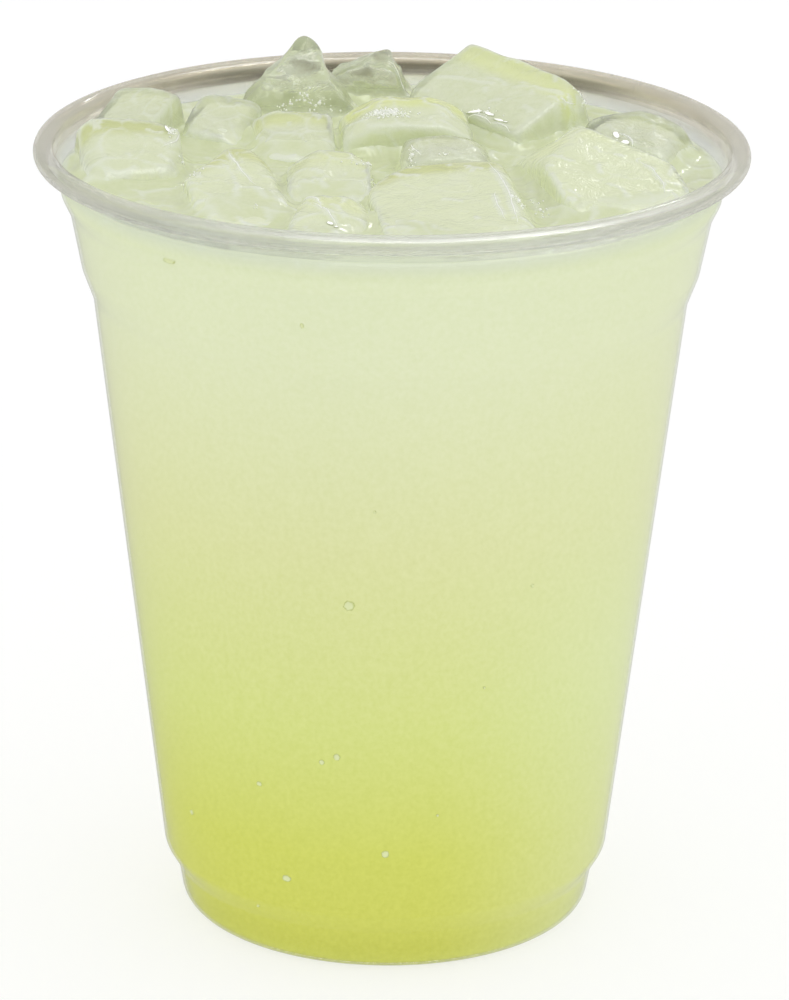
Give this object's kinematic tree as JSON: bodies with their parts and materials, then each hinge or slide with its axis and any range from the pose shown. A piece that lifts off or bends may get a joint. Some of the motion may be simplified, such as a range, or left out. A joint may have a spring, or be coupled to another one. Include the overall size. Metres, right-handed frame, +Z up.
{
  "type": "cup of iced lemonade",
  "caption": "Clear plastic cup with a rolled rim, filled with pale cloudy lemonade, with blocks of melting ice floating at the top.",
  "frame": {"origin": "centre of the cup's foot, on the surface that the cup stands on", "axes": "+Z up along the cup's axis; -Y towards the viewer of the picture, +X to the picture's right"},
  "size_m": [0.0986, 0.0986, 0.1189],
  "materials": {
    "clear_plastic": "clear, glossy",
    "lemonade": "cloudy liquid, wet",
    "ice": "wet, clear with cloudy core"
  },
  "bodies": {
    "root": {"cup": "clear_plastic", "lemonade": "lemonade", "ice_back_peak": "ice", "ice_back_shard": "ice", "ice_back_slab": "ice", "ice_front_centre": "ice", "ice_front_left": "ice", "ice_front_right": "ice", "ice_front_rim": "ice", "ice_left_back": "ice", "ice_left_back_small": "ice", "ice_left_centre": "ice", "ice_left_wall": "ice", "ice_middle_back": "ice", "ice_middle_dome": "ice", "ice_middle_left": "ice", "ice_right_wall": "ice"}
  },
  "joints": []
}
